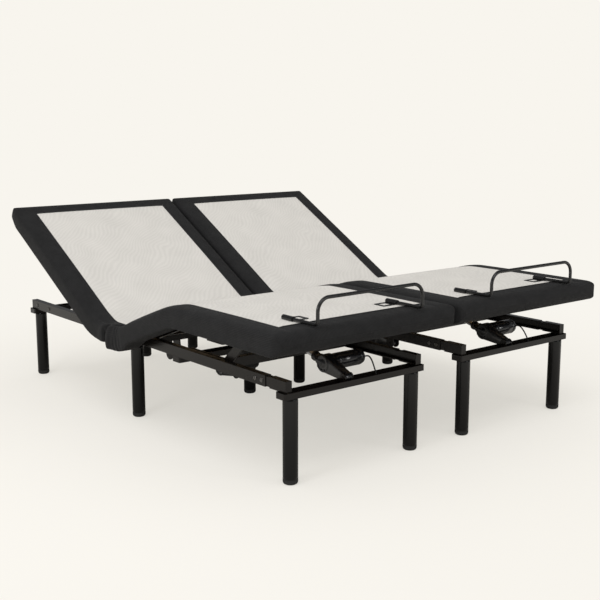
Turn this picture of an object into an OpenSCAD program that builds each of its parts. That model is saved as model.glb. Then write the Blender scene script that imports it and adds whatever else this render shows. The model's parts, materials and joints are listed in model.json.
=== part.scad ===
// Split adjustable bed base: two identical powered halves that stand side by side.
// Each half has a steel frame on six legs and a jointed, padded deck of four sections.
// X runs across the pair, +Y points to the head end, Z is up and the floor is z = 0.
// The deck is drawn raised: backrest up, knees up, foot section level.

/* [Pair] */
// Gap between the two decks
pair_gap = 8; // [4:1:60]

/* [Deck] */
// Width of one deck
deck_w = 800; // [720:10:1000]
// Length of the backrest section, from its hinge
head_len = 830; // [760:5:900]
// Length of the seat section, hinge to hinge
seat_len = 208; // [180:4:260]
// Length of the thigh section, hinge to hinge
thigh_len = 380; // [340:5:430]
// Length of the foot section, from the knee hinge
foot_len = 608; // [590:4:700]
// Thickness of the deck boards
board_t = 15; // [12:1:18]
// Foam over the boards
foam_t = 25; // [18:1:35]
// Depth of the padded lip below the hinge line
lip_drop = 18; // [8:1:18]
// Width of the padded lip along the sides
side_lip_w = 84; // [60:1:85]
// Width of the padded lip at the foot end
foot_lip_w = 82; // [40:1:85]
// Width of the padded lip at the head end
head_lip_w = 64; // [40:1:70]
// Radius of the deck's outer corners
corner_r = 30; // [15:1:50]

/* [Pose] */
// Backrest angle as drawn
head_angle = 29; // [20:1:35]
// Greatest backrest angle
head_angle_max = 60; // [50:1:65]
// Thigh angle as drawn
thigh_angle = 20.5; // [15:0.5:25]
// Greatest thigh angle
thigh_angle_max = 30.5; // [25:0.5:32]

/* [Frame] */
// Length of the steel frame
frame_len = 1861; // [1820:5:1880]
// Height of the crossbars above the floor
leg_h = 285; // [180:5:330]
// Height of the side rails
rail_h = 37.4; // [34:0.2:44]
// Width of the side rails' flanges
flange_w = 25; // [22:1:30]
// Thickness of the sheet steel
sheet = 2.5; // [2:0.1:3]
// Width of the crossbars
crossbar_w = 50; // [44:1:60]
// Height of the crossbars
crossbar_h = 21; // [18:0.5:24]
// How far the crossbars stick out past the rails
crossbar_over = 10; // [0:1:12]
// Distance from the foot crossbar to the middle legs
mid_leg_run = 953; // [900:5:980]

/* [Legs] */
// Diameter of the leg tubes
leg_d = 50; // [38:1:56]
// Distance from the deck's middle to a leg's middle
leg_x = 269; // [240:1:270]
// Thickness of the rubber cap under a leg
cap_t = 6; // [4:0.5:10]
// Diameter of the leg studs
stud_d = 10; // [8:1:12]

/* [Linkage] */
// Diameter of the hinge pins
pin_d = 12; // [10:0.5:14]
// Radial running clearance on pins and rods
run_fit = 0.05; // [0.02:0.01:0.08]
// Width of the frame tubes under the boards
tube_w = 20; // [16:1:22]
// Distance from the thigh hinge to the support arms' pivot
arm_offset = 302; // [280:2:320]
// Length of the lower limb of a support arm
arm_foot = 212; // [190:2:225]
// Width of a support arm
arm_w = 35; // [28:1:38]
// Thickness of a support arm
arm_t = 6; // [4:0.5:7]

/* [Drives] */
// Diameter of a drive motor
motor_d = 56; // [46:1:58]
// Reach of a drive motor from the rod's axis
motor_reach = 158; // [140:2:200]
// Diameter of a drive rod
rod_d = 20; // [16:1:22]
// Distance from a drive's rear pivot to its gears
gear_run = 108; // [104:1:116]
// Sideways place of the leg drive
leg_drive_x = -30; // [-80:1:0]
// Sideways place of the back drive
back_drive_x = -20; // [-60:1:0]
// Height of the back drive above the floor
back_drive_z = 200; // [150:5:220]
// Depth of the backrest's lever below its hinge
lever_drop = 134; // [110:1:150]

/* [Mattress stop] */
// Diameter of the bent rod
stop_rod_d = 12; // [8:0.5:14]
// Width of the bent rod, middle to middle
stop_w = 458; // [400:2:520]
// Height of the bent rod above the deck
stop_h = 84; // [76:1:130]
// Radius of the bent rod's upper corners
stop_r = 44; // [30:1:56]

/* [Hidden] */
$fn = 48;

STEEL = [0.09, 0.085, 0.08];
GLOSS = [0.03, 0.03, 0.035];
FABRIC = [0.13, 0.13, 0.135];
PALE = [0.78, 0.77, 0.74];
PLY = [0.62, 0.48, 0.32];
ZINC = [0.72, 0.73, 0.74];
RUBBER = [0.05, 0.05, 0.05];

// Heights, from the floor up
rail_z = leg_h + crossbar_h;
rail_top = rail_z + rail_h;
deck_clear = 0.6;
pivot_z = 326 + (rail_top - 343.4);
board_v = rail_top + deck_clear - pivot_z;
foam_v = board_v + board_t;
top_v = foam_v + foam_t;

// The frame's plan: frame_y0 is the foot crossbar's near face
board_w = deck_w - 2 * side_lip_w - 8;
rail_x = board_w / 2 - 12;
rail_gap = 9;
frame_y0 = 71;
frame_y1 = frame_y0 + frame_len;
rail_y0 = frame_y0 + rail_gap;
rail_y1 = frame_y1 - 7;
exposed_end = 84;
end_slot = 22;
nested_end = 146;
end_plate_t = 4;
board_hole_r = 4.25;
foot_bar_y = frame_y0 + crossbar_w / 2;
head_bar_y = frame_y1 - crossbar_w / 2;
mid_bar_y = foot_bar_y + mid_leg_run;
leg_rows = [foot_bar_y, mid_bar_y, head_bar_y];

// Hinges, as points in a half's own Y and Z
thigh_y = 966;
head_y = thigh_y + seat_len;
knee_y = thigh_y - thigh_len * cos(thigh_angle);
knee_z = pivot_z + thigh_len * sin(thigh_angle);
toe_y = knee_y - foot_len;

// The row's origin is on the floor, under the middle of the pair
half_x = (deck_w + pair_gap) / 2;
cap_wall = 1.5;
cap_h = 20;
origin_y = (toe_y + frame_y1 + cap_wall) / 2;

// Tubes under the boards
tube_low = -12;
outer_tube_x = rail_x - flange_w - 17 - tube_w;
inner_tube_x = outer_tube_x - tube_w - 4;
arm_x = outer_tube_x + tube_w + 4;
pin_root = rail_x - sheet;
pin_tip = outer_tube_x - 2;
tube_wall = 2;
tube_back = 16;
boss = 0.4;
lever_top = [30, -12];
lever_w = 50;
bore_r = pin_d / 2 + run_fit;

// Ends of the boards and pads at each hinge, where they lean away from each other
board_gap_head = foam_v * tan(head_angle_max / 2) + 1;
board_gap_thigh = foam_v * tan(thigh_angle_max / 2) + 1;
board_gap_knee = tube_back + 4;
seat_board_back = tube_back + 2;
hinge_gap = 1.5;
head_end = [hinge_gap, hinge_gap, top_v * tan(head_angle_max / 2) + 2 * hinge_gap];
thigh_end = [hinge_gap, hinge_gap, top_v * tan(thigh_angle_max / 2) + 2 * hinge_gap];
knee_end = [lip_drop * tan(thigh_angle_max / 2) + 2 * hinge_gap, hinge_gap, hinge_gap];
pocket_w = deck_w - 2 * side_lip_w;

// Drives: rear pivots, rod ends and the lines between them
leg_pivot_y = foot_bar_y + 2;
leg_pivot_z = rail_z + 6;
leg_run = knee_y - leg_pivot_y;
leg_rise = knee_z - leg_pivot_z;
leg_eye_slip = 8;
leg_eye_droop = 1.2;
leg_drive_len = norm([leg_run, leg_rise]) + leg_eye_slip;
leg_drive_angle = atan2(leg_rise, leg_run) - leg_eye_droop;
back_pivot_y = 720;
lever_reach = 10;
back_drive_len = head_y + lever_reach - back_pivot_y;
drive_eye_r = 12;
drive_eye_w = 24;
clevis_pin_r = 5;
cheek_in = 17;
cheek_t = 5;
motor_x0 = 22;
gear_x0 = -18;
gear_r = 31;
rod_back = gear_run + 14;
flat_motor_y = leg_pivot_y + gear_run - (thigh_y - thigh_len);
motor_room = 60;
leg_nose = 62;
back_nose = 100;
tail_half = 6;

// Sockets and rod of the mattress stop, from the knee
socket_y = -455;
socket_size = [62, 52, 5];
socket_rim = 10;
sleeve_r = stop_rod_d / 2 + 3;
socket_x = (stop_w - socket_size[0]) / 2 - 3;
stop_back = socket_y + socket_size[1] / 2 - 2;
stop_front = -foot_len + 8;

// Cable from the leg motor, in the leg drive's own frame: across, along, up
CABLE = [
    [motor_reach, gear_run, -8], [motor_reach + 8, gear_run, -8],
    [motor_reach + 14, gear_run - 8, 1], [motor_reach + 13, gear_run - 24, 9],
    [motor_reach + 7, gear_run - 42, 10], [motor_reach - 2, gear_run - 62, 7],
    [motor_reach - 10, gear_run - 78, 3], [motor_reach - 15, gear_run - 90, -2],
    [motor_reach - 17, gear_run - 100, -10], [motor_reach - 17, gear_run - 104, -17]
];
cable_r = 2.6;

module left() translate([-half_x, -origin_y, 0]) children();
module right() translate([half_x, -origin_y, 0]) children();
module both_halves() {
    left() children();
    right() children();
}
module both_sides() {
    children();
    mirror([1, 0, 0]) children();
}

// Hinge frames: X across, Y along the section, Z square to the board
module at_head() translate([0, head_y, pivot_z]) rotate([head_angle, 0, 0]) children();
module at_thigh() translate([0, thigh_y, pivot_z]) rotate([-thigh_angle, 0, 0]) children();
module at_knee() translate([0, knee_y, knee_z]) children();
module at_leg_drive()
    translate([leg_drive_x, leg_pivot_y, leg_pivot_z]) rotate([leg_drive_angle, 0, 0]) children();
module at_back_drive() translate([back_drive_x, back_pivot_y, back_drive_z]) children();

// A box from one corner to the opposite one
module span(a, b) translate(a) cube(b - a);
// A round bar along X
module bar_x(x0, x1, r, y = 0, z = 0)
    translate([x0, y, z]) rotate([0, 90, 0]) cylinder(r = r, h = x1 - x0);
// A side outline, given as [y, z], carried across from x0 to x1
module outline_x(x0, x1, points)
    translate([x0, 0, 0]) rotate([90, 0, 90]) linear_extrude(x1 - x0) polygon(points);
module round_rect(w, l, r) {
    square([w - 2 * r, l], center = true);
    square([w, l - 2 * r], center = true);
    for (x = [-1, 1], y = [-1, 1]) translate([x * (w / 2 - r), y * (l / 2 - r)]) circle(r);
}
// A flat link through [y, z] points, with a slightly wider round boss at each
module link_plate(x0, x1, points, w) translate([x0, 0, 0]) rotate([90, 0, 90])
    linear_extrude(x1 - x0) {
        for (p = points) translate(p) circle(w / 2 + boss);
        for (i = [1:len(points) - 1]) {
            run = points[i] - points[i - 1];
            translate(points[i - 1]) rotate(atan2(run[1], run[0]))
                translate([0, -w / 2]) square([norm(run), w]);
        }
    }
// A rectangular tube along Y
module tube_y(x0, y0, y1) difference() {
    span([x0, y0, tube_low], [x0 + tube_w, y1, board_v]);
    span([x0 + tube_wall, y0 - 1, tube_low + tube_wall],
         [x0 + tube_w - tube_wall, y1 + 1, board_v - tube_wall]);
}

// ---- Fixed frame of one half ----

// Channel rails that open inwards
module side_rails() color(STEEL) both_sides() difference() {
    span([rail_x - flange_w, rail_y0 + exposed_end + end_slot, rail_z],
         [rail_x, rail_y1 - end_plate_t, rail_top]);
    span([rail_x - flange_w - 1, rail_y0, rail_z + sheet],
         [rail_x - sheet, rail_y1, rail_top - sheet]);
}

// Telescoping rail ends: a nested channel with an exposed end, and a capped head end
module rail_sleeves() color(STEEL) both_sides() {
    difference() {
        union() {
            span([rail_x - flange_w + 0.4, rail_y0 + exposed_end - 14, rail_z + sheet],
                 [rail_x - sheet, rail_y0 + exposed_end + nested_end, rail_top - sheet]);
            span([rail_x - flange_w, rail_y0, rail_z], [rail_x, rail_y0 + exposed_end, rail_top]);
        }
        span([rail_x - flange_w - 1, rail_y0 + sheet, rail_z + 2 * sheet],
             [rail_x - 2 * sheet, rail_y1, rail_top - 2 * sheet]);
    }
    difference() {
        span([rail_x - flange_w, rail_y1 - end_plate_t, rail_z], [rail_x, rail_y1, rail_top]);
        translate([rail_x - flange_w / 2, rail_y1 + 1, rail_z + rail_h / 2]) rotate([90, 0, 0])
            cylinder(r = board_hole_r, h = end_plate_t + 2);
    }
}

// Upward-open channel with closed, rounded ends and a hole for each leg stud
module crossbar(y, half_w, studs = true) translate([0, y, leg_h]) difference() {
    linear_extrude(crossbar_h) round_rect(2 * half_w, crossbar_w, 7);
    translate([0, 0, sheet]) linear_extrude(crossbar_h)
        round_rect(2 * (half_w - sheet), crossbar_w - 2 * sheet, 5);
    if (studs) for (x = [-leg_x, leg_x]) translate([x, 0, -1])
        cylinder(r = stud_d / 2 + 0.5, h = sheet + 2);
}
module foot_crossbar() color(STEEL) crossbar(foot_bar_y, rail_x + crossbar_over);
module head_crossbar() color(STEEL) crossbar(head_bar_y, rail_x + crossbar_over);
module middle_crossbar() color(STEEL) crossbar(mid_bar_y, rail_x);
module drive_beam() color(STEEL) crossbar(back_pivot_y, rail_x, studs = false);

module legs() color(GLOSS) for (y = leg_rows, x = [-leg_x, leg_x]) translate([x, y, 0]) {
    difference() {
        translate([0, 0, cap_t]) cylinder(d = leg_d, h = leg_h - cap_t);
        translate([0, 0, -1]) cylinder(d = leg_d - 2 * sheet, h = leg_h - 3);
    }
    translate([0, 0, leg_h - 1]) cylinder(d = stud_d, h = 18);
}
module leg_caps() color(RUBBER) both_halves()
    for (y = leg_rows, x = [-leg_x, leg_x]) translate([x, y, 0]) difference() {
        cylinder(d = leg_d + 2 * cap_wall, h = cap_h);
        translate([0, 0, cap_t]) cylinder(d = leg_d, h = cap_h);
    }

// Nuts on the leg studs and the rivets that hold the rail ends
module frame_fasteners() color(ZINC) both_halves() {
    for (y = leg_rows, x = [-leg_x, leg_x]) translate([x, y, leg_h + sheet]) difference() {
        cylinder(r = 0.95 * stud_d, h = 8, $fn = 6);
        translate([0, 0, -1]) cylinder(d = stud_d, h = 12);
    }
    for (y = [125, 160, frame_len - 70, frame_len - 185]) both_sides()
        bar_x(rail_x, rail_x + sheet, 6, rail_y0 + y, rail_z + rail_h / 2);
}

// Pins through the rails' webs for the backrest, the thigh section and the support arms
module hinge_pins() color(ZINC) both_halves() both_sides() {
    for (y = [head_y, thigh_y]) bar_x(pin_tip, pin_root, pin_d / 2, y, pivot_z);
    bar_x(arm_x - 2, pin_root, pin_d / 2, thigh_y - arm_offset, pivot_z);
}

module drive_clevises() color(STEEL) {
    ear_x = drive_eye_w / 2 + 1.5;
    translate([leg_drive_x, leg_pivot_y, 0]) {
        both_sides() {
            span([ear_x, -14, leg_h + sheet], [ear_x + cheek_t, 14, leg_pivot_z]);
            bar_x(ear_x, ear_x + cheek_t, 14, 0, leg_pivot_z);
        }
        bar_x(-ear_x - cheek_t - 2, ear_x + cheek_t + 2, clevis_pin_r, 0, leg_pivot_z);
    }
    translate([back_drive_x, back_pivot_y, 0]) {
        both_sides() {
            span([ear_x, -20, back_drive_z], [ear_x + cheek_t, 20, leg_h]);
            bar_x(ear_x, ear_x + cheek_t, 20, 0, back_drive_z);
        }
        bar_x(-ear_x - cheek_t - 2, ear_x + cheek_t + 2, clevis_pin_r, 0, back_drive_z);
    }
}

module control_box() color(GLOSS) translate([90, mid_bar_y - 60, leg_h - 42])
    difference() {
        linear_extrude(42) translate([70, 60]) round_rect(140, 120, 8);
        for (i = [0:2]) translate([20 + 36 * i, -1, 12]) cube([22, 12, 10]);
    }

// ---- Deck boards ----

module board(y0, y1) span([-board_w / 2, y0, board_v], [board_w / 2, y1, foam_v]);
module seat_board() color(PLY) translate([0, 0, pivot_z])
    span([-board_w / 2, thigh_y + seat_board_back, board_v - deck_clear],
         [board_w / 2, head_y - max(seat_board_back, board_gap_head), foam_v]);
module head_board() color(PLY) at_head() board(board_gap_head, head_len - head_lip_w - 3);
module thigh_board() color(PLY) at_thigh() board(board_gap_knee - thigh_len, -board_gap_thigh);
// The opening leaves room for the leg motor when the deck is flat
module foot_board() color(PLY) at_knee() difference() {
    board(foot_lip_w + 3 - foot_len, -board_gap_knee);
    span([leg_drive_x - motor_room, flat_motor_y - motor_room, board_v - 1],
         [leg_drive_x + motor_reach + motor_room, flat_motor_y + motor_room, foam_v + 1]);
}

// ---- Deck pads: foam over the board, with a lip that hangs round it ----

// Outline of a section from y0 to y1: each end is [gap below, gap at, gap above] the hinge line
module pad(y0, y1, end0 = [0, 0, 0], end1 = [0, 0, 0], end_lip0 = 0, end_lip1 = 0)
    difference() {
        outline_x(-deck_w / 2, deck_w / 2,
            [[y0 + end0[0], -lip_drop], [y0 + end0[1], 0], [y0 + end0[2], top_v],
             [y1 - end1[2], top_v], [y1 - end1[1], 0], [y1 - end1[0], -lip_drop]]);
        span([-pocket_w / 2, y0 - 1 + (end_lip0 > 0 ? end_lip0 + 1 : -20), -lip_drop - 1],
             [pocket_w / 2, y1 + 1 - (end_lip1 > 0 ? end_lip1 + 1 : -20), foam_v]);
    }
module round_corners(y0, y1) intersection() {
    children();
    translate([0, (y0 + y1) / 2, -lip_drop - 1]) linear_extrude(top_v + lip_drop + 2)
        round_rect(deck_w, y1 - y0, corner_r);
}
module seat_pad() color(FABRIC) translate([0, thigh_y, pivot_z])
    pad(0, seat_len, end0 = thigh_end, end1 = head_end);
module head_pad() color(FABRIC) at_head() round_corners(-200, head_len)
    pad(0, head_len, end0 = head_end, end_lip1 = head_lip_w);
module thigh_pad() color(FABRIC) at_thigh()
    pad(-thigh_len, 0, end0 = knee_end, end1 = thigh_end);
module foot_pad() color(FABRIC) at_knee() round_corners(-foot_len, 200)
    pad(-foot_len, 0, end1 = knee_end, end_lip0 = foot_lip_w);

// ---- Moving steelwork ----

module head_frame() color(STEEL) at_head() {
    difference() {
        both_sides() tube_y(outer_tube_x, -tube_back, head_len - 90);
        both_sides() bar_x(outer_tube_x - 1, outer_tube_x + tube_w + 1, bore_r);
    }
    for (y = [60, head_len / 2, head_len - 130])
        span([-outer_tube_x, y, -7], [outer_tube_x, y + 25, board_v]);
    // The lever hangs straight down from the hinge line as drawn
    lever = [lever_reach * cos(head_angle) - lever_drop * sin(head_angle),
             -lever_reach * sin(head_angle) - lever_drop * cos(head_angle)];
    for (x = [-cheek_in - cheek_t, cheek_in]) translate([back_drive_x, 0, 0]) {
        link_plate(x, x + cheek_t, [lever_top, lever], lever_w);
        span([x, -4, -20], [x + cheek_t, 66, 16]);
    }
}

module thigh_frame() color(STEEL) at_thigh() {
    difference() {
        both_sides() tube_y(outer_tube_x, -thigh_len - tube_back, tube_back);
        both_sides() bar_x(outer_tube_x - 1, outer_tube_x + tube_w + 1, bore_r);
    }
    // Knee pins that carry the foot frame
    both_sides() bar_x(inner_tube_x - 2, outer_tube_x, pin_d / 2, -thigh_len);
    for (y = [-60, -thigh_len + 70])
        span([-outer_tube_x, y, -7], [outer_tube_x, y + 25, board_v]);
    // Cheeks that the leg drive's rod end works between
    for (x = [-cheek_in - cheek_t, cheek_in]) translate([leg_drive_x, 0, 0]) {
        span([x, -thigh_len + 5, -26], [x + cheek_t, -thigh_len + 70, board_v - 2]);
        bar_x(x, x + cheek_t, 26, -thigh_len + 6, -2 + board_v - 26);
    }
}

module foot_frame() color(STEEL) at_knee() {
    difference() {
        both_sides() tube_y(inner_tube_x, foot_lip_w + 8 - foot_len, tube_back);
        both_sides() bar_x(inner_tube_x - 1, inner_tube_x + tube_w + 1, bore_r);
    }
    span([-inner_tube_x, -202, board_v - 6], [inner_tube_x, -172, board_v]);
    span([-inner_tube_x, foot_lip_w + 14 - foot_len, board_v - 14],
         [inner_tube_x, foot_lip_w + 39 - foot_len, board_v]);
    // Studs that the support arms hold
    both_sides() bar_x(inner_tube_x + tube_w, arm_x + arm_t + 2, pin_d / 2, -arm_offset);
}

// Two cranked arms and the beam between them; they swing level with the thigh section
module support_arms() color(STEEL) translate([0, thigh_y - arm_offset, pivot_z]) {
    crank = [-arm_foot, 0];
    tip = [knee_y - thigh_y, knee_z - pivot_z];
    both_sides() difference() {
        link_plate(arm_x, arm_x + arm_t, [[0, 0], crank, tip], arm_w);
        bar_x(arm_x - 1, arm_x + arm_t + 1, bore_r);
        bar_x(arm_x - 1, arm_x + arm_t + 1, bore_r, tip[0], tip[1]);
    }
    span([-arm_x, -arm_foot - 9, -17], [arm_x, -arm_foot + 16, 17]);
}

// ---- Drives, in their own frames: the rod runs along Y ----

module drive_body(nose) difference() {
    union() {
        // Tear-drop gear case and its tail
        bar_x(gear_x0, motor_x0, gear_r, gear_run);
        outline_x(gear_x0 + 2, motor_x0 - 4,
            [[36, -tail_half - 2], [36, tail_half + 2], [gear_run - 8, gear_r - 2], [gear_run - 8, 2 - gear_r]]);
        span([-9, 0, -tail_half], [9, 40, tail_half]);
        bar_x(-drive_eye_w / 2, drive_eye_w / 2, drive_eye_r);
        // Motor can, its collar and its end cap
        bar_x(motor_x0, motor_x0 + 16, motor_d / 2 - 4, gear_run);
        bar_x(motor_x0 + 16, motor_reach - 12, motor_d / 2, gear_run);
        bar_x(motor_reach - 12, motor_reach, motor_d / 2 - 3, gear_run);
        // Nose that guides the rod
        translate([0, gear_run, 0]) rotate([-90, 0, 0]) cylinder(r = rod_d / 2 + 6, h = nose);
    }
    bar_x(-drive_eye_w, drive_eye_w, clevis_pin_r + run_fit);
    translate([0, rod_back - 66, 0]) rotate([-90, 0, 0])
        cylinder(r = rod_d / 2 + run_fit, h = gear_run + 200);
}
module drive_rod(length) {
    translate([0, rod_back, 0]) rotate([-90, 0, 0])
        cylinder(d = rod_d, h = length - rod_back - 4);
    bar_x(-drive_eye_w / 2, drive_eye_w / 2, drive_eye_r + 1, length);
    bar_x(-drive_eye_w / 2 - 3, drive_eye_w / 2 + 3, clevis_pin_r, length);
}
module back_motor() color(GLOSS) at_back_drive() drive_body(back_nose);
module back_rod() color(ZINC) at_back_drive() drive_rod(back_drive_len);
module leg_motor() color(GLOSS) at_leg_drive() drive_body(leg_nose);
module leg_rod() color(ZINC) at_leg_drive() drive_rod(leg_drive_len);

// A round tube swept along a list of points
function unit(v) = v / norm(v);
function heading(p, i) = unit(p[min(i + 1, len(p) - 1)] - p[max(i - 1, 0)]);
function ring(p, i, r, n) =
    let (t = heading(p, i), a = unit(cross(t, [0, 0.3, 1])), b = cross(t, a))
    [for (k = [0:n - 1]) p[i] + r * (cos(360 * k / n) * a + sin(360 * k / n) * b)];
module sweep(p, r, n = 8) {
    last = len(p) - 1;
    points = [for (i = [0:last]) each ring(p, i, r, n)];
    walls = [for (i = [0:last - 1], k = [0:n - 1])
        [i * n + k, i * n + (k + 1) % n, (i + 1) * n + (k + 1) % n, (i + 1) * n + k]];
    caps = [[for (k = [n - 1:-1:0]) k], [for (k = [0:n - 1]) last * n + k]];
    polyhedron(points, concat(walls, caps));
}
module motor_cable() color(RUBBER) at_leg_drive() sweep(CABLE, cable_r);

// ---- Mattress stop ----

// A framed plate on the deck with a sleeve along its outer edge that takes the rod
module stop_sockets() color(STEEL) at_knee() both_sides() difference() {
    union() {
        translate([socket_x, socket_y, top_v]) linear_extrude(socket_size[2])
            round_rect(socket_size[0], socket_size[1], 5);
        translate([stop_w / 2, socket_y - socket_size[1] / 2, top_v + sleeve_r])
            rotate([-90, 0, 0]) cylinder(r = sleeve_r, h = socket_size[1]);
    }
    translate([socket_x - 3, socket_y, top_v - 1]) linear_extrude(socket_size[2] + 2)
        round_rect(socket_size[0] - 2 * socket_rim - 6, socket_size[1] - 2 * socket_rim, 3);
    translate([stop_w / 2, socket_y - socket_size[1], top_v + sleeve_r])
        rotate([-90, 0, 0]) cylinder(r = stop_rod_d / 2 + run_fit, h = 2 * socket_size[1]);
}

// Bent rod: two runs along the deck, two uprights and the bar between them
module mattress_stop() color(STEEL) at_knee() translate([0, 0, top_v + sleeve_r]) {
    r = stop_rod_d / 2;
    bend = 16;
    both_sides() translate([stop_w / 2, 0, 0]) {
        translate([0, stop_front + bend, 0]) rotate([-90, 0, 0])
            cylinder(r = r, h = stop_back - stop_front - bend);
        translate([0, stop_front + bend, bend]) rotate([90, 0, 90]) rotate([0, 0, 180])
            rotate_extrude(angle = 90) translate([bend, 0]) circle(r);
        translate([0, stop_front, bend]) cylinder(r = r, h = stop_h - stop_r - bend);
        translate([-stop_r, stop_front, stop_h - stop_r]) rotate([90, 0, 0])
            rotate_extrude(angle = 90) translate([stop_r, 0]) circle(r);
    }
    bar_x(stop_r - stop_w / 2, stop_w / 2 - stop_r, r, stop_front, stop_h);
}

left() side_rails();  // left_side_rails
left() rail_sleeves();  // left_rail_sleeves
left() foot_crossbar();  // left_foot_crossbar
left() head_crossbar();  // left_head_crossbar
left() middle_crossbar();  // left_middle_crossbar
left() drive_beam();  // left_drive_beam
left() legs();  // left_legs
left() seat_board();  // left_seat_board
left() seat_pad();  // left_seat_pad
left() control_box();  // left_control_box
left() drive_clevises();  // left_drive_clevises
left() head_frame();  // left_head_frame
left() head_board();  // left_head_board
left() head_pad();  // left_head_pad
left() thigh_frame();  // left_thigh_frame
left() thigh_board();  // left_thigh_board
left() thigh_pad();  // left_thigh_pad
left() foot_frame();  // left_foot_frame
left() foot_board();  // left_foot_board
left() foot_pad();  // left_foot_pad
left() support_arms();  // left_support_arms
left() back_motor();  // left_back_motor
left() back_rod();  // left_back_rod
left() leg_motor();  // left_leg_motor
left() leg_rod();  // left_leg_rod
left() motor_cable();  // left_motor_cable
left() mattress_stop();  // left_mattress_stop
left() stop_sockets();  // left_stop_sockets
right() side_rails();  // right_side_rails
right() rail_sleeves();  // right_rail_sleeves
right() foot_crossbar();  // right_foot_crossbar
right() head_crossbar();  // right_head_crossbar
right() middle_crossbar();  // right_middle_crossbar
right() drive_beam();  // right_drive_beam
right() legs();  // right_legs
right() seat_board();  // right_seat_board
right() seat_pad();  // right_seat_pad
right() control_box();  // right_control_box
right() drive_clevises();  // right_drive_clevises
right() head_frame();  // right_head_frame
right() head_board();  // right_head_board
right() head_pad();  // right_head_pad
right() thigh_frame();  // right_thigh_frame
right() thigh_board();  // right_thigh_board
right() thigh_pad();  // right_thigh_pad
right() foot_frame();  // right_foot_frame
right() foot_board();  // right_foot_board
right() foot_pad();  // right_foot_pad
right() support_arms();  // right_support_arms
right() back_motor();  // right_back_motor
right() back_rod();  // right_back_rod
right() leg_motor();  // right_leg_motor
right() leg_rod();  // right_leg_rod
right() motor_cable();  // right_motor_cable
right() mattress_stop();  // right_mattress_stop
right() stop_sockets();  // right_stop_sockets
leg_caps();
frame_fasteners();
hinge_pins();
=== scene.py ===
"""Looks for a split adjustable bed base: padded decks, steel frames, drives and bent-rod stops.

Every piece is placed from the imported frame: hinge lines come from its joints and corners from
its node boxes.
"""

import json
import logging
import math
from dataclasses import dataclass, field
from enum import Enum

import bmesh
import bpy
import numpy as np
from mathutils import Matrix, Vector

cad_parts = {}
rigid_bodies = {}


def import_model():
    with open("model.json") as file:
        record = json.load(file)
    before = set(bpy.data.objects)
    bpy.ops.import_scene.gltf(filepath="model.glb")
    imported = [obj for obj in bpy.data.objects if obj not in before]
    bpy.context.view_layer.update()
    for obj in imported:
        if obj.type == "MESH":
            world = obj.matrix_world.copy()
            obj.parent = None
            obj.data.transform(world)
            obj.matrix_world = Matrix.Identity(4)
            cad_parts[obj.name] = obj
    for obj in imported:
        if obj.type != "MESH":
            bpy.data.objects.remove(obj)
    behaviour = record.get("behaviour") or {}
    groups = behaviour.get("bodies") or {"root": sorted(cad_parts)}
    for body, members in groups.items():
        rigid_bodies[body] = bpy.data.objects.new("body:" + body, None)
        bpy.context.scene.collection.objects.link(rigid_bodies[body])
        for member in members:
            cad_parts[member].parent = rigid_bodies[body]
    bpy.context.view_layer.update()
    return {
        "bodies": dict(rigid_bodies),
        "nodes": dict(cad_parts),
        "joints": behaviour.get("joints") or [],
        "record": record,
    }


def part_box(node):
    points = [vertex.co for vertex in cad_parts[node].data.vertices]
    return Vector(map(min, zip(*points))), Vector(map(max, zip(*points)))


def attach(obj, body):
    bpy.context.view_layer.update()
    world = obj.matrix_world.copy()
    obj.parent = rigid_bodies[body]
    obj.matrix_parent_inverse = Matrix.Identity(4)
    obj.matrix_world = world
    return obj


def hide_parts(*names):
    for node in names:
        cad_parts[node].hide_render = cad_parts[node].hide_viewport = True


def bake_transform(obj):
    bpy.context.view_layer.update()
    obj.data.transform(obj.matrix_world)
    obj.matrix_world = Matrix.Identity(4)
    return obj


LOG = logging.getLogger("bed_base")
HALVES = ("left", "right")
COVERS = ("foot_cover", "thigh_cover", "head_cover")
PIPINGS = ("foot_piping", "thigh_piping", "head_piping")
THIGH_CUT = 0.45        # share of the thigh section at which its cover is cut from the foot's
SIDE_ZONE = 0.012       # how far in from a side its pinches and sag reach, in metres
UNDER_ZONE = 0.006      # height above the lip that counts as its lower edge, in metres
FILL_FRAMES = 20        # steps of the cloth fill
WIDEST = 0.4025         # half width that the filled cover stays within, in metres
PANEL_COLUMNS = 49      # columns over the top panel
CASE_CORNERS = 30       # corners round the tear-drop
Points = np.ndarray


# ---- Finishes ----


class Grain(Enum):
    """The fine pattern of a finish."""

    WEAVE = "weave"
    POWDER = "powder"
    ENAMEL = "enamel"
    BRUSHED = "brushed"
    MOULDED = "moulded"
    VENEER = "veneer"


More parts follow.
